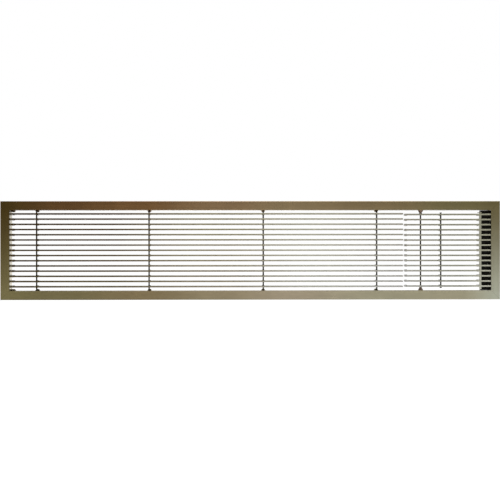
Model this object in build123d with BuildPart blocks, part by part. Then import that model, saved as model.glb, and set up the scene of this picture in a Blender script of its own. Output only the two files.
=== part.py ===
"""Linear bar air grille with a mitred flanged frame and a hinged access door.

X runs along the grille, Y into the wall, Z up. The wall's face is the plane Y = 0, and the origin is
the middle of the wall opening on that plane, so the flange lies in front of it at negative Y.
Everything is in millimetres.
"""

from build123d import *
import os

os.makedirs("parts", exist_ok=True)

# ---- Driving dimensions ----------------------------------------------------------------------
overall_length = 1066.8
bar_count = 15
bar_pitch = 11.1125
bar_thickness = 3.175
bar_depth = 19.05
bar_recess = 0.8
bar_front_radius = 0.6
edge_gap = 6.675
core_lift = 0.5

border = 19.05
flange_thickness = 3.175
leg_thickness = 3.175
leg_depth = 19.05
face_bevel = 0.6

rod_radius = 1.5875
rod_x = (-458.7, -218.3, 26.5, 270.5)
rod_head_radius = 2.75
rod_head_height = 1.0
rod_end_bevel = 0.4

door_bar_pitch = 10.97
door_gap = 5.1
fixed_bar_end_x = 325.5
pivot_x = 364.9
tie_rod_x = 408.5
end_plate_x = 491.0
end_plate_thickness = 2.4
end_plate_top_z = 81.8
end_plate_bottom_z = -83.6
end_plate_corner_radius = 1.5
end_plate_lip = 4.0
end_plate_lip_thickness = 1.2
bar_shoulder_x = 494.6
tongue_end_gap = 0.5

strike_width = 18.95
strike_sheet = 1.2
strike_end_gap = 0.5
stop_pad_thickness = 1.5
stop_pad_gap = 0.35

swage_length = 7.5
swage_height = 4.8
swage_start = 3.2
swage_proud = 1.5
lug_length = 9.5
lug_height = 3.5

bush_base_radius = 5.2
bush_tip_radius = 2.5
bush_height = 6.0
bush_rim = 1.2
bush_stem_radius = 4.0
washer_radius = 3.4
washer_thickness = 1.3

bracket_arm = 28.0
bracket_sheet = 1.5
bracket_width = 13.0
bracket_start_y = 2.5
rivet_radius = 1.6
rivet_head_radius = 2.8
rivet_head_height = 1.2
rivet_insets = (12.0, 22.0)

fixing_hole_radius = 2.25
fixing_hole_y = 11.0
fixing_hole_x = (-338.0, -120.0, 120.0, 338.0)

press_gap = 0.03
running_gap = 0.05
slip_gap = 0.1

# ---- Places worked out from them -------------------------------------------------------------
bar_rows = range(bar_count)
stack_height = (bar_count - 1) * bar_pitch + bar_thickness
opening_height = stack_height + 2 * edge_gap
opening_z = opening_height / 2
outer_z = opening_z + border
outer_x = overall_length / 2
opening_x = outer_x - border

face_y = -flange_thickness
bar_front_y = face_y + bar_recess
bar_back_y = bar_front_y + bar_depth
rod_y = (bar_front_y + bar_back_y) / 2
bracket_y = bracket_start_y + bracket_width / 2

swage_x = (-opening_x + swage_length / 2 + slip_gap, *rod_x)
fixed_bar_z = [core_lift + (i - (bar_count - 1) / 2) * bar_pitch for i in bar_rows]
door_bar_z = [(i - (bar_count - 1) / 2) * door_bar_pitch for i in bar_rows]
door_stack_z = door_bar_z[-1] + bar_thickness / 2

door_bar_start_x = fixed_bar_end_x + door_gap
half_lap_y = (bar_front_y + rod_y) / 2
tongue_end_x = opening_x - tongue_end_gap
strike_x = opening_x - strike_width
stop_pad_y = rod_y + stop_pad_gap
strike_front_y = stop_pad_y + stop_pad_thickness
strike_half_height = opening_z - strike_end_gap


def keep(part, name):
    """Labels a finished piece and writes it as one STEP file."""
    part.label = name
    export_step(part, f"parts/{name}.step")


def at_depth(y):
    """A drawing plane parallel to the wall at depth y; extruding by a negative amount goes deeper."""
    return Plane.XZ.offset(-y)


def mitre_plane(side_x, side_z):
    """The 45 degree joint at one corner; a rail lies below it, a stile lies above it."""
    return Plane(origin=(side_x * outer_x, 0, side_z * outer_z), z_dir=(side_x, 0, -side_z))


# ---- Frame: two rails and two stiles, mitred at the corners ----------------------------------
rivet_rail_x = [side * (opening_x - inset) for side in (-1, 1) for inset in rivet_insets]
rivet_stile_z = [side * (opening_z - inset) for side in (-1, 1) for inset in rivet_insets]

for side, name in ((1, "frame_top_rail"), (-1, "frame_bottom_rail")):
    leg_z = side * (opening_z + leg_thickness / 2)
    with BuildPart() as rail:
        with BuildSketch(Plane.YZ):
            with BuildLine():
                Polyline(
                    (face_y, side * opening_z),
                    (face_y, side * (outer_z - face_bevel)),
                    (face_y + face_bevel, side * outer_z),
                    (0, side * outer_z),
                    (0, side * (opening_z + leg_thickness)),
                    (leg_depth, side * (opening_z + leg_thickness)),
                    (leg_depth, side * opening_z),
                    close=True,
                )
            make_face()
        extrude(amount=outer_x, both=True)
        split(bisect_by=mitre_plane(1, side), keep=Keep.BOTTOM)
        split(bisect_by=mitre_plane(-1, side), keep=Keep.BOTTOM)
        # A staking lug beside each cross rod and at the bars' left ends, at the back of the leg.
        with BuildSketch(at_depth(leg_depth)):
            for x in swage_x:
                with BuildLine():
                    Polyline(
                        (x - lug_length / 2, side * opening_z),
                        (x - lug_length / 4, side * (opening_z - lug_height)),
                        (x + lug_length / 4, side * (opening_z - lug_height)),
                        (x + lug_length / 2, side * opening_z),
                        close=True,
                    )
                make_face()
        extrude(amount=leg_depth - bar_back_y + swage_start)
        # Round holes through the leg for the rods, the bush, the corner rivets and the fixing screws.
        with BuildSketch(Plane.XY.offset(leg_z - leg_thickness)):
            with Locations(*[(x, rod_y) for x in rod_x]):
                Circle(rod_radius + press_gap)
            with Locations((pivot_x, rod_y)):
                Circle(bush_stem_radius + press_gap)
            with Locations(*[(x, bracket_y) for x in rivet_rail_x]):
                Circle(rivet_radius + press_gap)
            with Locations(*[(x, fixing_hole_y) for x in fixing_hole_x]):
                Circle(fixing_hole_radius)
        extrude(amount=2 * leg_thickness, mode=Mode.SUBTRACT)
    keep(rail.part, name)

strike_screw_z = (-30.0, 0.0, 30.0)
strike_screw_y = strike_front_y + 5.0
strike_screw_radius = 1.5

for side, name in ((1, "frame_right_stile"), (-1, "frame_left_stile")):
    leg_x = side * (opening_x + leg_thickness / 2)
    with BuildPart() as stile:
        with BuildSketch(Plane.XY):
            with BuildLine():
                Polyline(
                    (side * opening_x, face_y),
                    (side * (outer_x - face_bevel), face_y),
                    (side * outer_x, face_y + face_bevel),
                    (side * outer_x, 0),
                    (side * (opening_x + leg_thickness), 0),
                    (side * (opening_x + leg_thickness), leg_depth),
                    (side * opening_x, leg_depth),
                    close=True,
                )
            make_face()
        extrude(amount=outer_z, both=True)
        split(bisect_by=mitre_plane(side, 1), keep=Keep.TOP)
        split(bisect_by=mitre_plane(side, -1), keep=Keep.TOP)
        with BuildSketch(Plane.YZ.offset(leg_x - leg_thickness)):
            with Locations(*[(bracket_y, z) for z in rivet_stile_z]):
                Circle(rivet_radius + press_gap)
            if side == 1:
                with Locations(*[(strike_screw_y, z) for z in strike_screw_z]):
                    Circle(strike_screw_radius + press_gap)
        extrude(amount=2 * leg_thickness, mode=Mode.SUBTRACT)
    keep(stile.part, name)

# ---- Corner angles behind the flange, riveted to the legs ------------------------------------
rail_back_z = opening_z + leg_thickness
stile_back_x = opening_x + leg_thickness

for side_x, side_z, name in (
    (-1, 1, "corner_angle_top_left"),
    (1, 1, "corner_angle_top_right"),
    (-1, -1, "corner_angle_bottom_left"),
    (1, -1, "corner_angle_bottom_right"),
):
    with BuildPart() as angle:
        with BuildSketch(at_depth(bracket_start_y)):
            with BuildLine():
                Polyline(
                    (side_x * stile_back_x, side_z * rail_back_z),
                    (side_x * (stile_back_x - bracket_arm), side_z * rail_back_z),
                    (side_x * (stile_back_x - bracket_arm), side_z * (rail_back_z + bracket_sheet)),
                    (side_x * (stile_back_x + bracket_sheet), side_z * (rail_back_z + bracket_sheet)),
                    (side_x * (stile_back_x + bracket_sheet), side_z * (rail_back_z - bracket_arm)),
                    (side_x * stile_back_x, side_z * (rail_back_z - bracket_arm)),
                    close=True,
                )
            make_face()
        extrude(amount=-bracket_width)
        with BuildSketch(Plane.XY.offset(side_z * rail_back_z - bracket_sheet)):
            with Locations(*[(side_x * (opening_x - inset), bracket_y) for inset in rivet_insets]):
                Circle(rivet_radius + press_gap)
        extrude(amount=3 * bracket_sheet, mode=Mode.SUBTRACT)
        with BuildSketch(Plane.YZ.offset(side_x * stile_back_x - bracket_sheet)):
            with Locations(*[(bracket_y, side_z * (opening_z - inset)) for inset in rivet_insets]):
                Circle(rivet_radius + press_gap)
        extrude(amount=3 * bracket_sheet, mode=Mode.SUBTRACT)
    keep(angle.part, name)

rivet_grip = leg_thickness + bracket_sheet

with BuildPart() as corner_rivets:
    for side in (-1, 1):
        with BuildSketch(Plane.XY.offset(side * opening_z)):
            with Locations(*[(x, bracket_y) for x in rivet_rail_x]):
                Circle(rivet_radius)
        extrude(amount=side * rivet_grip)
        with BuildSketch(Plane.XY.offset(side * (opening_z + rivet_grip))):
            with Locations(*[(x, bracket_y) for x in rivet_rail_x]):
                Circle(rivet_head_radius)
        extrude(amount=side * rivet_head_height, taper=30)
        with BuildSketch(Plane.YZ.offset(side * opening_x)):
            with Locations(*[(bracket_y, z) for z in rivet_stile_z]):
                Circle(rivet_radius)
        extrude(amount=side * rivet_grip)
        with BuildSketch(Plane.YZ.offset(side * (opening_x + rivet_grip))):
            with Locations(*[(bracket_y, z) for z in rivet_stile_z]):
                Circle(rivet_head_radius)
        extrude(amount=side * rivet_head_height, taper=30)
keep(corner_rivets.part, "corner_rivets")


# ---- Bars ------------------------------------------------------------------------------------
def add_bar(start_x, end_x, z):
    """A flat bar on edge, from start_x to end_x, with its front edges rounded."""
    with BuildSketch(Plane.YZ.offset(start_x)) as section:
        with Locations(((bar_front_y + bar_back_y) / 2, z)):
            Rectangle(bar_depth, bar_thickness)
        fillet(section.vertices().group_by(Axis.X)[0], radius=bar_front_radius)
    extrude(section.sketch, amount=end_x - start_x)


def add_swages(centres_x, z):
    """Local thickenings of the bar's back edge, where it was pressed to lock it on its rods."""
    with BuildSketch(at_depth(bar_back_y - swage_start)) as swages:
        with Locations(*[(x, z) for x in centres_x]):
            SlotOverall(swage_length, swage_height)
    extrude(swages.sketch, amount=-(swage_start + swage_proud))


def drill_rods(centres_x, z):
    """Round holes through the bar for its rods."""
    with BuildSketch(Plane.XY.offset(z - bar_thickness)) as holes:
        with Locations(*[(x, rod_y) for x in centres_x]):
            Circle(rod_radius + press_gap)
    extrude(holes.sketch, amount=2 * bar_thickness, mode=Mode.SUBTRACT)


for row, z in enumerate(reversed(fixed_bar_z), start=1):
    with BuildPart() as fixed_bar:
        add_bar(-opening_x, fixed_bar_end_x, z)
        add_swages(swage_x, z)
        drill_rods(rod_x, z)
    keep(fixed_bar.part, f"fixed_bar_{row:02d}")

for row, z in enumerate(reversed(door_bar_z), start=1):
    with BuildPart() as door_bar:
        add_bar(door_bar_start_x, tongue_end_x, z)
        # Past the shoulder only the front half of the bar goes on, as a tongue over the strike.
        # The slot in the front edge is half-lapped with the end plate.
        with BuildSketch(Plane.XY.offset(z - bar_thickness)):
            with Locations((bar_shoulder_x, rod_y)):
                Rectangle(strike_width * 2, bar_depth, align=(Align.MIN, Align.MIN))
            with Locations((end_plate_x - slip_gap, half_lap_y + slip_gap)):
                Rectangle(
                    end_plate_thickness + 2 * slip_gap,
                    bar_depth,
                    align=(Align.MIN, Align.MAX),
                )
        extrude(amount=2 * bar_thickness, mode=Mode.SUBTRACT)
        add_swages(
            [
                door_bar_start_x + swage_length / 2 + slip_gap,
                tie_rod_x,
                bar_shoulder_x - swage_length / 2 - slip_gap,
            ],
            z,
        )
        drill_rods([pivot_x, tie_rod_x], z)
    keep(door_bar.part, f"door_bar_{row:02d}")

# ---- Cross rods of the fixed part, headed over outside the legs ------------------------------
for index, x in enumerate(rod_x, start=1):
    with BuildPart() as cross_rod:
        with BuildSketch(Plane.XY):
            with Locations((x, rod_y)):
                Circle(rod_radius)
        extrude(amount=rail_back_z, both=True)
        for side in (-1, 1):
            with BuildSketch(Plane.XY.offset(side * rail_back_z)):
                with Locations((x, rod_y)):
                    Circle(rod_head_radius)
            extrude(amount=side * rod_head_height, taper=30)
    keep(cross_rod.part, f"cross_rod_{index}")

# ---- Door: rods, end plate and washers -------------------------------------------------------
with BuildPart() as pivot_rod:
    with BuildSketch(Plane.XY):
        with Locations((pivot_x, rod_y)):
            Circle(rod_radius)
    extrude(amount=rail_back_z, both=True)
    chamfer(pivot_rod.edges().filter_by(GeomType.CIRCLE), rod_end_bevel)
keep(pivot_rod.part, "door_pivot_rod")

tie_rod_reach = door_stack_z + 2.7

with BuildPart() as tie_rod:
    with BuildSketch(Plane.XY):
        with Locations((tie_rod_x, rod_y)):
            Circle(rod_radius)
    extrude(amount=tie_rod_reach - rod_head_height, both=True)
    for side in (-1, 1):
        with BuildSketch(Plane.XY.offset(side * (tie_rod_reach - rod_head_height))):
            with Locations((tie_rod_x, rod_y)):
                Circle(rod_head_radius)
        extrude(amount=side * rod_head_height, taper=20)
keep(tie_rod.part, "door_tie_rod")

with BuildPart() as end_plate:
    with BuildSketch(Plane.YZ.offset(end_plate_x)) as plate_outline:
        with Locations((bar_front_y, end_plate_bottom_z)):
            Rectangle(
                rod_y - bar_front_y,
                end_plate_top_z - end_plate_bottom_z,
                align=(Align.MIN, Align.MIN),
            )
        fillet(plate_outline.vertices(), radius=end_plate_corner_radius)
        # Slots open at the back edge, half-lapped with the bars.
        with Locations(*[(half_lap_y, z) for z in door_bar_z]):
            Rectangle(
                bar_depth,
                bar_thickness + 2 * slip_gap,
                align=(Align.MIN, Align.CENTER),
                mode=Mode.SUBTRACT,
            )
    extrude(amount=end_plate_thickness)
    # A small lip turned towards the door at the top.
    with BuildSketch(Plane.XY.offset(end_plate_top_z)):
        with Locations((end_plate_x, half_lap_y)):
            Rectangle(
                end_plate_lip,
                rod_y - end_plate_corner_radius - half_lap_y,
                align=(Align.MAX, Align.MIN),
            )
    extrude(amount=-end_plate_lip_thickness)
keep(end_plate.part, "door_end_plate")

with BuildPart() as washers:
    for side in (-1, 1):
        with BuildSketch(Plane.XY.offset(side * door_stack_z)):
            with Locations((pivot_x, rod_y)):
                Circle(washer_radius)
                Circle(rod_radius + slip_gap, mode=Mode.SUBTRACT)
        extrude(amount=side * washer_thickness)
keep(washers.part, "pivot_washers")

# ---- Bushes in the legs, in which the pivot rod turns ----------------------------------------
for side, name in ((1, "pivot_bush_top"), (-1, "pivot_bush_bottom")):
    with BuildPart() as bush:
        with BuildSketch(at_depth(rod_y)):
            with BuildLine():
                Polyline(
                    (pivot_x + rod_radius + running_gap, side * rail_back_z),
                    (pivot_x + bush_stem_radius, side * rail_back_z),
                    (pivot_x + bush_stem_radius, side * opening_z),
                    (pivot_x + bush_base_radius, side * opening_z),
                    (pivot_x + bush_base_radius, side * (opening_z - bush_rim)),
                    (pivot_x + bush_tip_radius, side * (opening_z - bush_height)),
                    (pivot_x + rod_radius + running_gap, side * (opening_z - bush_height)),
                    close=True,
                )
            make_face()
        revolve(axis=Axis((pivot_x, rod_y, 0), (0, 0, 1)))
    keep(bush.part, name)

# ---- Strike at the door's closing side: channel, stop pad and screws -------------------------
strike_depth = leg_depth - strike_front_y

with BuildPart() as strike_channel:
    with BuildSketch(Plane.XY):
        with Locations((strike_x, strike_front_y)):
            Rectangle(strike_width, strike_depth, align=(Align.MIN, Align.MIN))
        with Locations((strike_x + strike_sheet, strike_front_y + strike_sheet)):
            Rectangle(
                strike_width - 2 * strike_sheet,
                strike_depth,
                align=(Align.MIN, Align.MIN),
                mode=Mode.SUBTRACT,
            )
    extrude(amount=strike_half_height, both=True)
    with BuildSketch(Plane.YZ.offset(opening_x - 2 * strike_sheet)):
        with Locations(*[(strike_screw_y, z) for z in strike_screw_z]):
            Circle(strike_screw_radius + press_gap)
    extrude(amount=3 * strike_sheet, mode=Mode.SUBTRACT)
keep(strike_channel.part, "strike_channel")

with BuildPart() as stop_pad:
    with BuildSketch(Plane.XY):
        with Locations((strike_x, stop_pad_y)):
            Rectangle(strike_width, stop_pad_thickness, align=(Align.MIN, Align.MIN))
    extrude(amount=strike_half_height, both=True)
keep(stop_pad.part, "door_stop_pad")

strike_screw_tip = 3.0
strike_screw_head = (2.8, 1.8)

with BuildPart() as strike_screws:
    with BuildSketch(Plane.YZ.offset(opening_x - strike_sheet - strike_screw_tip)):
        with Locations(*[(strike_screw_y, z) for z in strike_screw_z]):
            Circle(strike_screw_radius)
    extrude(amount=strike_screw_tip + strike_sheet + leg_thickness)
    with BuildSketch(Plane.YZ.offset(stile_back_x)):
        with Locations(*[(strike_screw_y, z) for z in strike_screw_z]):
            Circle(strike_screw_head[0])
    extrude(amount=strike_screw_head[1], taper=15)
keep(strike_screws.part, "strike_screws")
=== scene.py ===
import math

import bpy
import numpy as np
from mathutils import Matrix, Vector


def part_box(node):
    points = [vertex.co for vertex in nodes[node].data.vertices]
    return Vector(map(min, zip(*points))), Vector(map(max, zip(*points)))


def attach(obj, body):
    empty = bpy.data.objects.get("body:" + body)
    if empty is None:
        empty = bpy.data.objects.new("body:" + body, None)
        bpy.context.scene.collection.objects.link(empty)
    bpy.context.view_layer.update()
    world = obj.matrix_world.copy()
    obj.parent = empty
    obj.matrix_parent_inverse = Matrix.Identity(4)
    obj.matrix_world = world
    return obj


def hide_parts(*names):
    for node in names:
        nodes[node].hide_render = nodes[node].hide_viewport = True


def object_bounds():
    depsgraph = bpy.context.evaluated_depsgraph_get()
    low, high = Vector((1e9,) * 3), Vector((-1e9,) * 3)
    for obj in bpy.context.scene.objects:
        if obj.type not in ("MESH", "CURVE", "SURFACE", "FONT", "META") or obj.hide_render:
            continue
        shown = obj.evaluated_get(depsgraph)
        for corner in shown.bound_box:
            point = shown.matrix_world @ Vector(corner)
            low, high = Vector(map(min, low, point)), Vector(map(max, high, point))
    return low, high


# A linear bar air grille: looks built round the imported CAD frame.
# X runs along the grille, Y into the wall, Z up, all in metres. The room is at negative Y.

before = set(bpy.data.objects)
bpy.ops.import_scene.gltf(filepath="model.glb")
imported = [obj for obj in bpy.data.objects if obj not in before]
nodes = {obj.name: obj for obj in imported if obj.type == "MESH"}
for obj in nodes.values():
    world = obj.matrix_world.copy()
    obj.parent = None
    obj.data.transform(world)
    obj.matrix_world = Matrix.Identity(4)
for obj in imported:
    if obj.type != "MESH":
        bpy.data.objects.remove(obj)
cad_low, cad_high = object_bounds()

half_length = cad_high.x
half_height = cad_high.z
face_y = cad_low.y
border = half_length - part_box("strike_channel")[1].x
opening_x = half_length - border
opening_z = half_height - border


# ---- Small tools for shader trees --------------------------------------------------------------
def add_node(tree, kind, inputs=None, **settings):
    """Adds a shader node, sets its own settings, then its inputs: a socket is linked, a value is set."""
    node = tree.nodes.new(kind)
    for name, value in settings.items():
        setattr(node, name, value)
    for key, value in (inputs or {}).items():
        socket = node.inputs[key]
        if isinstance(value, bpy.types.NodeSocket):
            tree.links.new(value, socket)
        else:
            socket.default_value = value
    return node


def maths(tree, operation, a, b=0.0, clamp=False):
    """One Math node; returns its output."""
    node = add_node(tree, "ShaderNodeMath", {0: a, 1: b}, operation=operation, use_clamp=clamp)
    return node.outputs[0]


def span(tree, value, low, high, out_low=0.0, out_high=1.0):
    """A smooth step of value between low and high, given out between out_low and out_high."""
    node = add_node(
        tree,
        "ShaderNodeMapRange",
        {"Value": value, "From Min": low, "From Max": high, "To Min": out_low, "To Max": out_high},
        interpolation_type="SMOOTHSTEP",
    )
    return node.outputs[0]


def share_between(tree, value, low, high):
    """How far value has gone from low to high, as an even share from 0 to 1."""
    node = add_node(
        tree, "ShaderNodeMapRange", {"Value": value, "From Min": low, "From Max": high}
    )
    return node.outputs[0]


def blend_colours(tree, share, a, b, kind="MIX"):
    """Mixes two colours by share, or multiplies them; returns the colour."""
    # Sockets 6 and 7 are the Mix node's colours, and output 2 is its mixed colour.
    node = add_node(
        tree, "ShaderNodeMix", {0: share, 6: a, 7: b}, data_type="RGBA", blend_type=kind
    )
    return node.outputs[2]


def grey(tree, value):
    """One value as a grey colour."""
    return add_node(tree, "ShaderNodeCombineColor", {0: value, 1: value, 2: value}).outputs[0]


def new_group(name, inputs, outputs):
    """A shader node group with inputs, each (name, type, value), and outputs, each (name, type)."""
    group = bpy.data.node_groups.new(name, "ShaderNodeTree")
    for label, kind, value in inputs:
        socket = group.interface.new_socket(name=label, in_out="INPUT", socket_type=kind)
        if value is not None:
            socket.default_value = value
    for label, kind in outputs:
        group.interface.new_socket(name=label, in_out="OUTPUT", socket_type=kind)
    entry = group.nodes.new("NodeGroupInput")
    leave = group.nodes.new("NodeGroupOutput")
    return group, entry.outputs, leave.inputs


def place_group(tree, group, inputs):
    """Puts a group into a material with its own values; returns its outputs."""
    return add_node(tree, "ShaderNodeGroup", inputs, node_tree=group).outputs


def linear(r, g, b):
    """A colour written as 0 to 255 display values, as the linear values that shaders use."""
    parts = [v / 255 for v in (r, g, b)]
    return [v / 12.92 if v <= 0.04045 else ((v + 0.055) / 1.055) ** 2.4 for v in parts] + [1.0]


FLOAT, COLOUR, VECTOR = "NodeSocketFloat", "NodeSocketColor", "NodeSocketVector"


# ---- Shared finishes, as node groups -----------------------------------------------------------
def colour_along(tree, value, stops):
    """A colour ramp over value, from (position, (r, g, b)) stops in display values."""
    ramp = add_node(tree, "ShaderNodeValToRGB", {"Fac": value})
    ramp.color_ramp.interpolation = "EASE"
    elements = ramp.color_ramp.elements
    for index, (position, shade) in enumerate(stops):
        if index < 2:
            element = elements[index]
            element.position = position
        else:
            element = elements.new(position)
        element.color = linear(*shade)
    return ramp.outputs["Color"]


def make_bronze_tone_with_painted_light(name, top_tones, bottom_tones):
    """Antique bronze tone over the whole grille, with painted light: dark at the top left, paler to the
    lower right.

    One ramp runs along the top edge and one along the bottom edge, and height mixes the two: the higher
    Fall is, the later the bottom one takes over. Cloudy noise, long along the metal, moves the tone a
    little up and down."""
    group, given, result = new_group(
        name,
        [("Place", VECTOR, None), ("Cloud", FLOAT, 0.12), ("Fall", FLOAT, 1.0)],
        [("Colour", COLOUR)],
    )
    axes = add_node(group, "ShaderNodeSeparateXYZ", {0: given["Place"]})
    along = share_between(group, axes.outputs["X"], -half_length, half_length)
    down = share_between(group, axes.outputs["Z"], half_height, -half_height)
    down = maths(group, "POWER", down, given["Fall"])
    upper = colour_along(group, along, top_tones)
    lower = colour_along(group, along, bottom_tones)
    # Painted light: height mixes the darker top ramp into the paler bottom ramp.
    tone = blend_colours(group, down, upper, lower)
    stretched = add_node(
        group, "ShaderNodeMapping", {"Vector": given["Place"], "Scale": (5.0, 9.0, 14.0)}
    )
    cloud = add_node(
        group,
        "ShaderNodeTexNoise",
        {"Vector": stretched.outputs[0], "Scale": 3.0, "Detail": 4.0, "Roughness": 0.55},
    )
    lift = maths(group, "SUBTRACT", cloud.outputs[0], 0.5)
    lift = maths(group, "MULTIPLY", lift, given["Cloud"])
    lift = maths(group, "ADD", maths(group, "MULTIPLY", lift, 2.0), 1.0)
    tinted = blend_colours(group, 1.0, tone, grey(group, lift), "MULTIPLY")
    group.links.new(tinted, result["Colour"])
    return group


# Where the frame's marks begin and end, in metres.
OUTER_RUB = (0.0012, 0.0002)  # in from the outer edge
INNER_RUB = (0.0008, 0.0001)  # out from the inner edge
JOINT_LINE = (0.00022, 0.00006)  # away from a mitre's middle
FLANGE_BACK = (0.0001, 0.0014)  # depth, from the flange to the legs behind it
LUG_ROOT = (-0.0006, -0.0002)  # across, from a lug to the leg that it stands on
LEG_WALL = (0.0006, 0.0026)  # across, from a leg's inner face to its outer face


def make_border_marks():
    """Marks that follow the frame's border: rubbed edges, the mitre joints and the way in past the face.

    Across is the larger of |x| less the opening's half length and |z| less its half height, which is 0
    at the inner edge and the border's width at the outer edge. Rub is 1 at both edges. Joint is 1 where
    the two are equal, on the 45 degree line. Inside is 1 on the legs, which lie behind the flange and
    outside the opening, and 0 on the lugs that stand out from them. Wall Side is 1 on the legs' outer
    faces."""
    group, given, result = new_group(
        "border_marks",
        [("Place", VECTOR, None)],
        [("Rub", FLOAT), ("Joint", FLOAT), ("Inside", FLOAT), ("Wall Side", FLOAT)],
    )
    axes = add_node(group, "ShaderNodeSeparateXYZ", {0: given["Place"]})
    past_x = maths(group, "SUBTRACT", maths(group, "ABSOLUTE", axes.outputs["X"]), opening_x)
    past_z = maths(group, "SUBTRACT", maths(group, "ABSOLUTE", axes.outputs["Z"]), opening_z)
    across = maths(group, "MAXIMUM", past_x, past_z)
    outer_rub = span(group, across, border - OUTER_RUB[0], border - OUTER_RUB[1])
    inner_rub = span(group, across, *INNER_RUB)
    worn = add_node(
        group, "ShaderNodeTexNoise", {"Vector": given["Place"], "Scale": 55.0, "Detail": 3.0}
    )
    rub = maths(group, "MAXIMUM", outer_rub, inner_rub)
    rub = maths(group, "MULTIPLY", rub, span(group, worn.outputs[0], 0.35, 0.65, 0.2, 1.0))
    apart = maths(group, "ABSOLUTE", maths(group, "SUBTRACT", past_x, past_z))
    joint = span(group, apart, *JOINT_LINE)
    behind = span(group, axes.outputs["Y"], *FLANGE_BACK)
    inside = maths(group, "MULTIPLY", behind, span(group, across, *LUG_ROOT))
    group.links.new(rub, result["Rub"])
    group.links.new(joint, result["Joint"])
    group.links.new(inside, result["Inside"])
    group.links.new(span(group, across, *LEG_WALL), result["Wall Side"])
    return group


def make_brushed_grain():
    """Fine brushing: noise stretched hard along one direction, as a height and as a roughness.

    Stretch holds how many times finer the noise runs across each axis than along the metal."""
    group, given, result = new_group(
        "brushed_grain",
        [
            ("Place", VECTOR, None),
            ("Stretch", VECTOR, (2.0, 900.0, 900.0)),
            ("Rough Low", FLOAT, 0.28),
            ("Rough High", FLOAT, 0.42),
        ],
        [("Height", FLOAT), ("Roughness", FLOAT)],
    )
    lined = add_node(
        group, "ShaderNodeVectorMath", {0: given["Place"], 1: given["Stretch"]}, operation="MULTIPLY"
    )
    fine = add_node(
        group,
        "ShaderNodeTexNoise",
        {"Vector": lined.outputs[0], "Scale": 1.0, "Detail": 3.0, "Roughness": 0.6},
    )
    handled = add_node(
        group,
        "ShaderNodeTexNoise",
        {"Vector": given["Place"], "Scale": 26.0, "Detail": 3.0, "Roughness": 0.5},
    )
    both = maths(group, "MULTIPLY", fine.outputs[0], 0.45)
    both = maths(group, "ADD", both, maths(group, "MULTIPLY", handled.outputs[0], 0.55))
    rough = add_node(
        group,
        "ShaderNodeMapRange",
        {
            "Value": both,
            "From Min": 0.3,
            "From Max": 0.7,
            "To Min": given["Rough Low"],
            "To Max": given["Rough High"],
        },
    )
    group.links.new(fine.outputs[0], result["Height"])
    group.links.new(rough.outputs[0], result["Roughness"])
    return group


def make_speckle():
    """Small pits and specks: cells of a Voronoi pattern, of which only the closest middles show."""
    group, given, result = new_group(
        "speckle",
        [("Place", VECTOR, None), ("Scale", FLOAT, 900.0), ("Size", FLOAT, 0.2)],
        [("Mask", FLOAT)],
    )
    cells = add_node(
        group, "ShaderNodeTexVoronoi", {"Vector": given["Place"], "Scale": given["Scale"]}
    )
    near = maths(group, "DIVIDE", cells.outputs["Distance"], given["Size"])
    near = maths(group, "SUBTRACT", 1.0, near, clamp=True)
    group.links.new(near, result["Mask"])
    return group


# Tones in display values at places along the grille, from its left end (0) to its right end (1).
# Painted light: the bottom ramp is paler than the top one, and both are darker to the left, as the light
# falls on the grille.
TOP_TONES_WITH_PAINTED_LIGHT = [
    (0, (68, 53, 23)),
    (0.12, (92, 66, 39)),
    (0.28, (107, 79, 49)),
    (0.44, (124, 101, 74)),
    (0.58, (125, 108, 80)),
    (0.76, (116, 100, 72)),
    (0.92, (104, 96, 65)),
    (1, (94, 85, 56)),
]
BOTTOM_TONES_WITH_PAINTED_LIGHT = [
    (0, (103, 96, 65)),
    (0.12, (102, 95, 67)),
    (0.28, (111, 99, 73)),
    (0.44, (124, 114, 91)),
    (0.58, (138, 128, 109)),
    (0.76, (135, 131, 110)),
    (0.92, (136, 131, 110)),
    (1, (144, 146, 131)),
]

# Painted light: the bars' fronts catch less of the room at the left and more at the right than the
# border does, and these tones paint that in.
BAR_TOP_TONES_WITH_PAINTED_LIGHT = [
    (0.05, (56, 43, 22)),
    (0.2, (72, 56, 36)),
    (0.42, (126, 120, 94)),
    (0.64, (146, 143, 126)),
    (0.78, (131, 127, 113)),
    (0.92, (120, 119, 102)),
    (0.97, (138, 136, 118)),
]
BAR_BOTTOM_TONES_WITH_PAINTED_LIGHT = [
    (0.05, (72, 64, 40)),
    (0.2, (84, 77, 54)),
    (0.42, (112, 102, 91)),
    (0.64, (146, 146, 139)),
    (0.78, (150, 150, 148)),
    (0.92, (126, 127, 118)),
    (0.97, (160, 159, 148)),
]
# How late the painted light turns the tone pale on the way down.
BORDER_PAINTED_LIGHT_FALL = 1.3
BAR_PAINTED_LIGHT_FALL = 2.0

# Both tone groups paint the room's light and shade into the bronze colour.
frame_tone_with_painted_light = make_bronze_tone_with_painted_light("frame_tone_with_painted_light", TOP_TONES_WITH_PAINTED_LIGHT, BOTTOM_TONES_WITH_PAINTED_LIGHT)
bar_tone_with_painted_light = make_bronze_tone_with_painted_light("bar_tone_with_painted_light", BAR_TOP_TONES_WITH_PAINTED_LIGHT, BAR_BOTTOM_TONES_WITH_PAINTED_LIGHT)
border_marks = make_border_marks()
brushed_grain = make_brushed_grain()
speckle = make_speckle()


# ---- Materials ---------------------------------------------------------------------------------
def new_material(name, **plain):
    """A material with a Principled shader whose even values are set on its own sockets."""
    material = bpy.data.materials.new(name)
    material.use_nodes = True
    tree = material.node_tree
    shader = tree.nodes["Principled BSDF"]
    for key, value in plain.items():
        shader.inputs[key.replace("_", " ")].default_value = value
    place = add_node(tree, "ShaderNodeTexCoord").outputs["Object"]
    return material, tree, shader, place


def give_bump(tree, shader, height, strength, distance):
    """A Bump node of that height, strength and depth in metres, into the shader's Normal."""
    bump = add_node(
        tree, "ShaderNodeBump", {"Height": height, "Strength": strength, "Distance": distance}
    )
    tree.links.new(bump.outputs[0], shader.inputs["Normal"])


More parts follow.
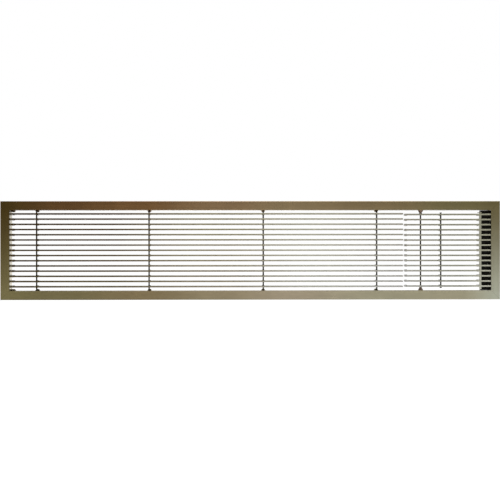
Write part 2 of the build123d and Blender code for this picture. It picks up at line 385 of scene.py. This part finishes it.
def bronze(name, tone_group, stretch, shade, low, high, cloud, fall):
    """Satin antique bronze on brushed aluminium.

    Stretch gives the brushing's direction, shade multiplies the tone, low and high are the roughness
    between which the brushing varies, and cloud and fall go to the tone group."""
    material, tree, shader, place = new_material(name, Metallic=1.0)
    tone = place_group(tree, tone_group, {"Place": place, "Cloud": cloud, "Fall": fall})
    grain = place_group(
        tree, brushed_grain, {"Place": place, "Stretch": stretch, "Rough Low": low, "Rough High": high}
    )
    shaded = blend_colours(tree, 1.0, tone["Colour"], (*shade, 1.0), "MULTIPLY")
    streaks = grey(tree, span(tree, grain["Height"], 0.25, 0.75, 0.93, 1.07))
    colour = blend_colours(tree, 1.0, shaded, streaks, "MULTIPLY")
    tree.links.new(colour, shader.inputs["Base Color"])
    tree.links.new(grain["Roughness"], shader.inputs["Roughness"])
    give_bump(tree, shader, grain["Height"], 0.25, 0.00004)
    return material, tree, shader, place, colour


def frame_bronze(name, stretch, inner_tones_and_painted_light):
    """The frame's bronze: rubbed at its edges, dark in the mitres, and with painted light and shade
    inside the opening.

    The inner tones run along the grille, as the tones of the face do. The legs' outer faces are bare
    aluminium."""
    material, tree, shader, place, colour = bronze(
        name, frame_tone_with_painted_light, stretch, EVEN, 0.26, 0.4, 0.1, BORDER_PAINTED_LIGHT_FALL
    )
    marks = place_group(tree, border_marks, {"Place": place})
    rubbed = blend_colours(tree, 1.0, colour, (1.22, 1.2, 1.16, 1.0), "MULTIPLY")
    colour = blend_colours(tree, marks["Rub"], colour, rubbed)
    seam = maths(tree, "MULTIPLY", marks["Joint"], 0.75)
    colour = blend_colours(tree, seam, colour, linear(30, 24, 14))
    axes = add_node(tree, "ShaderNodeSeparateXYZ", {0: place})
    along = share_between(tree, axes.outputs["X"], -half_length, half_length)
    # Painted light and shade on the legs inside the opening.
    leg = colour_along(tree, along, inner_tones_and_painted_light)
    leg = blend_colours(tree, marks["Wall Side"], leg, linear(158, 154, 143))
    colour = blend_colours(tree, marks["Inside"], colour, leg)
    tree.links.new(colour, shader.inputs["Base Color"])
    return material


def matt_brown(name):
    """Sintered bronze: matt brown with fine pores."""
    material, tree, shader, place = new_material(name, Metallic=0.75)
    pores = place_group(tree, speckle, {"Place": place, "Scale": 2200.0, "Size": 0.35})
    patch = add_node(tree, "ShaderNodeTexNoise", {"Vector": place, "Scale": 420.0, "Detail": 3.0})
    colour = blend_colours(tree, patch.outputs[0], linear(132, 114, 100), linear(152, 132, 116))
    colour = blend_colours(tree, pores["Mask"], colour, linear(84, 68, 56))
    tree.links.new(colour, shader.inputs["Base Color"])
    tree.links.new(span(tree, patch.outputs[0], 0.3, 0.7, 0.5, 0.68), shader.inputs["Roughness"])
    give_bump(tree, shader, maths(tree, "SUBTRACT", 1.0, pores["Mask"]), 0.4, 0.00005)
    return material


def black_enamel(name):
    """Matt black paint on sheet: a faint orange peel and slightly uneven gloss."""
    material, tree, shader, place = new_material(name, Metallic=0.0, Specular_IOR_Level=0.25)
    peel = add_node(tree, "ShaderNodeTexNoise", {"Vector": place, "Scale": 700.0, "Detail": 2.0})
    wide = add_node(tree, "ShaderNodeTexNoise", {"Vector": place, "Scale": 60.0, "Detail": 3.0})
    colour = blend_colours(tree, wide.outputs[0], linear(14, 12, 9), linear(24, 20, 15))
    tree.links.new(colour, shader.inputs["Base Color"])
    tree.links.new(span(tree, wide.outputs[0], 0.3, 0.7, 0.5, 0.68), shader.inputs["Roughness"])
    give_bump(tree, shader, peel.outputs[0], 0.3, 0.00006)
    return material


def black_rubber(name):
    """A rubber strip with fine moulded ribs along its length and a dusty bloom."""
    material, tree, shader, place = new_material(name, Metallic=0.0, Specular_IOR_Level=0.2)
    ribs = add_node(
        tree,
        "ShaderNodeTexWave",
        {"Vector": place, "Scale": 420.0, "Distortion": 0.0},
        wave_type="BANDS",
        bands_direction="X",
    )
    bloom = add_node(tree, "ShaderNodeTexNoise", {"Vector": place, "Scale": 95.0, "Detail": 4.0})
    colour = blend_colours(tree, bloom.outputs[0], linear(11, 8, 5), linear(26, 20, 14))
    tree.links.new(colour, shader.inputs["Base Color"])
    tree.links.new(span(tree, bloom.outputs[0], 0.3, 0.7, 0.72, 0.9), shader.inputs["Roughness"])
    give_bump(tree, shader, ribs.outputs["Fac"], 0.5, 0.0002)
    return material


def zinc_plate(name):
    """Bright zinc plating: pale grey metal with crystalline patches and a faint yellow cast."""
    material, tree, shader, place = new_material(name, Metallic=1.0)
    crystals = add_node(
        tree, "ShaderNodeTexVoronoi", {"Vector": place, "Scale": 380.0, "Randomness": 1.0}
    )
    stain = add_node(tree, "ShaderNodeTexNoise", {"Vector": place, "Scale": 70.0, "Detail": 4.0})
    facet = add_node(tree, "ShaderNodeSeparateColor", {0: crystals.outputs["Color"]}).outputs[0]
    colour = blend_colours(tree, facet, linear(168, 168, 164), linear(190, 188, 178))
    colour = blend_colours(
        tree, span(tree, stain.outputs[0], 0.45, 0.75, 0.0, 0.5), colour, linear(176, 162, 124)
    )
    tree.links.new(colour, shader.inputs["Base Color"])
    tree.links.new(span(tree, facet, 0.0, 1.0, 0.26, 0.4), shader.inputs["Roughness"])
    give_bump(tree, shader, stain.outputs[0], 0.2, 0.00005)
    return material


# Tones inside the opening, on the rails' legs and on the stiles' legs. The rails' tones hold painted
# shade, darker towards both ends, and painted light, paler than bare aluminium, in the middle.
RAIL_INNER_PAINTED_LIGHT_AND_SHADE = [
    (0.06, (56, 46, 28)),
    (0.16, (96, 86, 66)),
    (0.32, (176, 168, 148)),
    (0.6, (176, 168, 148)),
    (0.75, (116, 108, 90)),
    (0.95, (72, 66, 50)),
]
# Painted light: the stiles' legs are paler inside than the bare aluminium of their outer faces.
STILE_INNER_PAINTED_LIGHT = [(0.1, (190, 184, 168)), (0.9, (200, 195, 182))]

# Shades that multiply a bronze tone, one of them painted shade, and directions of brushing.
EVEN = (1.0, 1.0, 1.0)
# Painted shade: the rods, set back between the bars, are darkened almost to black.
PAINTED_SHADE_DARK = (0.09, 0.086, 0.078)
ALONG_X = (3.0, 1400.0, 1400.0)
ALONG_Z = (1400.0, 1400.0, 3.0)

frame_bronze_long = frame_bronze("frame_bronze_long", ALONG_X, RAIL_INNER_PAINTED_LIGHT_AND_SHADE)
frame_bronze_short = frame_bronze("frame_bronze_short", ALONG_Z, STILE_INNER_PAINTED_LIGHT)
bar_bronze = bronze("bar_bronze", bar_tone_with_painted_light, ALONG_X, EVEN, 0.28, 0.42, 0.08, BAR_PAINTED_LIGHT_FALL)[0]
plate_bronze = bronze("plate_bronze", bar_tone_with_painted_light, ALONG_Z, EVEN, 0.3, 0.44, 0.08, BAR_PAINTED_LIGHT_FALL)[0]
# Painted shade darkens the rods almost to black.
rod_bronze = bronze("rod_bronze", frame_tone_with_painted_light, ALONG_Z, PAINTED_SHADE_DARK, 0.32, 0.46, 0.15, BORDER_PAINTED_LIGHT_FALL)[0]
bush_brown = matt_brown("bush_brown")
channel_black = black_enamel("channel_black")
pad_black = black_rubber("pad_black")
hardware_zinc = zinc_plate("hardware_zinc")


def finish_of(node):
    """The material for one CAD node, by its name."""
    if node in ("frame_top_rail", "frame_bottom_rail"):
        return frame_bronze_long
    if node in ("frame_left_stile", "frame_right_stile"):
        return frame_bronze_short
    if node.startswith(("fixed_bar", "door_bar")):
        return bar_bronze
    if node == "door_end_plate":
        return plate_bronze
    if node.startswith("cross_rod") or node in ("door_pivot_rod", "door_tie_rod"):
        return rod_bronze
    if node.startswith("pivot_"):
        return bush_brown
    if node == "strike_channel":
        return channel_black
    if node == "door_stop_pad":
        return pad_black
    return hardware_zinc


for node_name, node_object in nodes.items():
    for place_in_mesh in node_object.material_slots:
        place_in_mesh.material = finish_of(node_name)


# ---- Rivets and screws, which take the place of the plain ones ----------------------------------
def turned_shape(radii, heights, sides):
    """Points of a turned shape: every (radius, height) of its profile carried round a full turn.

    Point (i, j) is (radius i * cos turn j, radius i * sin turn j, height i)."""
    turn = np.linspace(0, 2 * math.pi, sides, endpoint=False)
    flat = np.stack([np.outer(radii, np.cos(turn)), np.outer(radii, np.sin(turn))], axis=-1)
    tall = np.broadcast_to(np.asarray(heights)[:, None, None], flat.shape[:2] + (1,))
    return np.concatenate([flat, tall], axis=-1)


def closed_faces(rings, sides):
    """Faces of a turned shape of that many rings, with a middle point closing each end.

    Ring i's points are numbered i * sides onwards; the first end's middle comes after them all, then
    the last end's. The profile runs from the bottom up, so that faces point outwards."""
    across = np.arange(sides)
    beside = (across + 1) % sides
    rows = np.arange(rings - 1)[:, None] * sides
    walls = np.stack(
        [rows + across, rows + beside, rows + sides + beside, rows + sides + across], axis=-1
    ).reshape(-1, 4)
    first, last = rings * sides, rings * sides + 1
    top = (rings - 1) * sides
    bottom_fan = np.stack([beside, across, np.full(sides, first)], axis=-1)
    top_fan = np.stack([top + across, top + beside, np.full(sides, last)], axis=-1)
    return walls, np.concatenate([bottom_fan, top_fan])


def repeat_fastener(name, points, sides, frames, stands_for):
    """One piece from a turned shape set down at each frame (three axes and an origin, in rows).

    A point p goes to p.x * side + p.y * up + p.z * out + origin, for all frames at once."""
    rings = points.shape[0]
    middles = np.stack([points[0].mean(axis=0), points[-1].mean(axis=0)])
    solid = np.concatenate([points.reshape(-1, 3), middles])
    placed = np.einsum("nk,fkc->fnc", solid, frames[:, :3]) + frames[:, None, 3]
    walls, fans = closed_faces(rings, sides)
    steps = np.arange(len(frames))[:, None, None] * len(solid)
    faces = (walls + steps).reshape(-1, 4).tolist() + (fans + steps).reshape(-1, 3).tolist()
    mesh = bpy.data.meshes.new(name)
    mesh.from_pydata(placed.reshape(-1, 3).tolist(), [], faces)
    mesh.polygons.foreach_set("use_smooth", np.ones(len(faces), bool))
    mesh.set_sharp_from_angle(angle=math.radians(38))
    mesh.materials.append(hardware_zinc)
    piece = bpy.data.objects.new(name, mesh)
    bpy.context.scene.collection.objects.link(piece)
    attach(piece, "frame")
    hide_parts(stands_for)


def facing(out, origin):
    """Three axes and an origin, in rows: side, up and out, right handed. Out is along X or Z."""
    out = np.asarray(out, float)
    side = np.array([0.0, 1.0, 0.0])
    return np.stack([side, np.cross(out, side), out, np.asarray(origin, float)])


# Sizes of the rivets and screws, in metres. Radii are named for the part of the fastener they belong to.
RIVET_SIDES = 20
RIVET_TIP = 0.00145
RIVET_SHANK = 0.00158
RIVET_HEAD = 0.0027
RIVET_CHAMFER = 0.00012
RIVET_HEAD_EDGE = 0.0001
RIVET_RIM_HEIGHT = 0.00025
RIVET_HEAD_HEIGHT = 0.0012
# A rivet's distance from a corner: above 0 from the right or the top, below 0 from the others.
RIVET_INSETS = (-0.022, -0.012, 0.012, 0.022)

SCREW_SIDES = 48
SCREW_POINT = 0.0009
SCREW_SHANK = 0.00138
THREAD_HEIGHT = 0.0001
THREAD_PITCH = 0.001
SCREW_HEAD = 0.0027
SCREW_HEAD_SEAT = 0.0026
SCREW_HEAD_EDGE = 0.0001
SCREW_RIM_HEIGHT = 0.0007
SCREW_HEAD_HEIGHT = 0.0018
CROWN_ROUNDNESS = 0.96
RECESS_DEPTH = 0.001
RECESS_HALF_WIDTH = 0.00042
RECESS_SLOPE = 0.00012
RECESS_REACH = 0.00155
RECESS_FADE = 0.0003
SCREW_HEIGHTS = (-0.03, 0.0, 0.03)


def make_rivets():
    """Sixteen domed rivets through the legs and the corner angles, four at each corner.

    A rivet is a plain shank with a small chamfer at its tip, then a dome whose height falls off as the
    root of 1 less the square of its radius share."""
    head_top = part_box("corner_rivets")[1].z
    angle_low, angle_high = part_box("corner_angle_top_right")
    rivet_y = (angle_low.y + angle_high.y) / 2
    grip = head_top - RIVET_HEAD_HEIGHT - opening_z
    share = np.linspace(1.0, 0.08, 8)[1:]
    dome = np.sqrt(1 - share**2) * (RIVET_HEAD_HEIGHT - RIVET_RIM_HEIGHT)
    radii = np.concatenate([[RIVET_TIP, RIVET_SHANK, RIVET_SHANK, RIVET_HEAD], RIVET_HEAD * share])
    heights = np.concatenate(
        [[0.0, RIVET_CHAMFER, grip, grip + RIVET_HEAD_EDGE], grip + RIVET_RIM_HEIGHT + dome]
    )
    places = []
    for side in (-1, 1):
        for inset in RIVET_INSETS:
            x = math.copysign(opening_x, inset) - inset
            z = math.copysign(opening_z, inset) - inset
            places.append(facing((0, 0, side), (x, rivet_y, side * opening_z)))
            places.append(facing((side, 0, 0), (side * opening_x, rivet_y, z)))
    points = turned_shape(radii, heights, RIVET_SIDES)
    repeat_fastener("domed_rivets", points, RIVET_SIDES, np.stack(places), "corner_rivets")


def make_strike_screws():
    """Three pan head screws with cross recesses, which hold the strike channel to the right leg.

    The head is a low dome over a short straight rim. The recess lowers it by its depth wherever the
    smaller of |x| and |y| is under the slot's half width, fading out with the radius. The shank's
    thread is a cosine of the height."""
    low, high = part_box("strike_screws")
    screw_y = (low.y + high.y) / 2
    head_seat = high.x - SCREW_HEAD_HEIGHT
    shank = np.linspace(low.x, head_seat, 40)
    turns = (shank - low.x) * 2 * math.pi / THREAD_PITCH
    thread = SCREW_SHANK + THREAD_HEIGHT * np.cos(turns)
    share = np.linspace(1.0, 0.03, 22)
    dome = (SCREW_HEAD_HEIGHT - SCREW_RIM_HEIGHT) * np.sqrt(1 - CROWN_ROUNDNESS * share**2)
    crown = head_seat + SCREW_RIM_HEIGHT + dome
    radii = np.concatenate(
        [[SCREW_POINT], thread[1:], [SCREW_HEAD_SEAT, SCREW_HEAD], SCREW_HEAD * share]
    )
    heights = np.concatenate(
        [[low.x], shank[1:], [head_seat, head_seat + SCREW_HEAD_EDGE], crown]
    )
    points = turned_shape(radii, heights, SCREW_SIDES)
    near = np.minimum(np.abs(points[..., 0]), np.abs(points[..., 1]))
    reach = np.hypot(points[..., 0], points[..., 1])
    slot_share = np.clip((RECESS_HALF_WIDTH - near) / RECESS_SLOPE, 0, 1)
    slot_share = slot_share * np.clip((RECESS_REACH - reach) / RECESS_FADE, 0, 1)
    on_crown = np.arange(len(radii))[:, None] >= len(radii) - len(share)
    points[..., 2] -= RECESS_DEPTH * slot_share * on_crown
    places = [facing((1, 0, 0), (0, screw_y, z)) for z in SCREW_HEIGHTS]
    repeat_fastener(
        "strike_screws_detailed", points, SCREW_SIDES, np.stack(places), "strike_screws"
    )


make_rivets()
make_strike_screws()


# ---- Floor, lights, world and camera -----------------------------------------------------------
FLOOR_REACH = 30.0
FLOOR_GAP = 0.0003  # below the grille, in metres
FLOOR_GLOW = 0.32
PLAIN_SHARE = 0.88  # how much of the floor that is seen is even white
ROOM_LEFT = 0.5  # brightness of the room to the left
ROOM_RIGHT = 0.8  # and to the right
WALL_SIDE = 1.0  # and behind the grille


def make_floor(reach, height):
    """A square floor, reach metres each way, at that height.

    It lights the grille as a pale floor does, but seen directly it is nearly even white, so that its
    glare doesn't eat into the thin bars in front of it."""
    corners = np.array([[-1, -1, 0], [1, -1, 0], [1, 1, 0], [-1, 1, 0]], float) * reach
    corners[:, 2] = height
    mesh = bpy.data.meshes.new("floor")
    mesh.from_pydata(corners.tolist(), [], [(0, 1, 2, 3)])
    floor = bpy.data.objects.new("floor", mesh)
    bpy.context.scene.collection.objects.link(floor)
    material, tree, shader, place = new_material(
        "floor_white",
        Roughness=0.9,
        Specular_IOR_Level=0.1,
        Emission_Color=(1.0, 1.0, 1.0, 1.0),
        Emission_Strength=FLOOR_GLOW,
    )
    soft = add_node(tree, "ShaderNodeTexNoise", {"Vector": place, "Scale": 0.6, "Detail": 1.0})
    tree.links.new(
        blend_colours(tree, soft.outputs[0], (0.93, 0.93, 0.93, 1), (0.95, 0.95, 0.95, 1)),
        shader.inputs["Base Color"],
    )
    path = add_node(tree, "ShaderNodeLightPath")
    plain = add_node(tree, "ShaderNodeEmission", {"Color": (1, 1, 1, 1), "Strength": 1.0})
    share = maths(tree, "MULTIPLY", path.outputs["Is Camera Ray"], PLAIN_SHARE)
    seen = add_node(
        tree, "ShaderNodeMixShader", {0: share, 1: shader.outputs[0], 2: plain.outputs[0]}
    )
    tree.links.new(seen.outputs[0], tree.nodes["Material Output"].inputs["Surface"])
    mesh.materials.append(material)


def add_panel(name, place, aim, width, height, power):
    """A rectangular soft light at place, facing aim."""
    lamp = bpy.data.lights.new(name, "AREA")
    lamp.shape = "RECTANGLE"
    lamp.size = width
    lamp.size_y = height
    lamp.energy = power
    panel = bpy.data.objects.new(name, lamp)
    bpy.context.scene.collection.objects.link(panel)
    panel.location = place
    way = np.array(aim, float) - np.array(place, float)
    flat = math.hypot(way[0], way[1])
    panel.rotation_euler = (math.atan2(flat, -way[2]), 0, math.atan2(way[1], way[0]) - math.pi / 2)
    panel.visible_camera = False


def make_world():
    """A white studio: plain white to the camera, and for light a soft gradient round the room."""
    world = bpy.data.worlds.new("studio")
    bpy.context.scene.world = world
    world.use_nodes = True
    tree = world.node_tree
    tree.nodes.clear()
    way = add_node(tree, "ShaderNodeTexCoord").outputs["Generated"]
    axes = add_node(tree, "ShaderNodeSeparateXYZ", {0: way})
    side = span(tree, axes.outputs["X"], -0.45, 0.45, ROOM_LEFT, ROOM_RIGHT)
    behind = span(tree, axes.outputs["Y"], -0.3, 0.3, 0.0, 1.0)
    level = maths(tree, "MULTIPLY", side, maths(tree, "SUBTRACT", 1.0, behind))
    level = maths(tree, "ADD", level, maths(tree, "MULTIPLY", behind, WALL_SIDE))
    light = add_node(tree, "ShaderNodeBackground", {"Color": (1, 1, 1, 1), "Strength": level})
    seen = add_node(tree, "ShaderNodeBackground", {"Color": (1, 1, 1, 1), "Strength": 1.0})
    path = add_node(tree, "ShaderNodeLightPath")
    both = add_node(
        tree,
        "ShaderNodeMixShader",
        {0: path.outputs["Is Camera Ray"], 1: light.outputs[0], 2: seen.outputs[0]},
    )
    add_node(tree, "ShaderNodeOutputWorld", {0: both.outputs[0]})


make_floor(FLOOR_REACH, cad_low.z - FLOOR_GAP)
make_world()
add_panel("overhead_panel", (0.1, -0.6, 1.9), (0.0, 0.0, 0.0), 2.4, 1.6, 55.0)

# The camera looks straight at the face, a very little turned, from just above the middle.
eye_distance = 1.70
eye_height = 0.0009
aim_x = -0.00205
yaw = math.radians(0.6)
roll = math.radians(0.05)
camera_data = bpy.data.cameras.new("camera")
camera_data.sensor_width = 36.0
camera_data.lens = 57.365
camera_data.dof.use_dof = False
camera_data.clip_start = 0.02
camera_data.clip_end = 100.0
camera = bpy.data.objects.new("camera", camera_data)
bpy.context.scene.collection.objects.link(camera)
camera.location = (
    aim_x - eye_distance * math.sin(yaw),
    face_y - eye_distance * math.cos(yaw),
    eye_height,
)
camera.rotation_euler = (math.pi / 2, roll, -yaw)
bpy.context.scene.camera = camera
bpy.context.scene.view_settings.view_transform = "Standard"
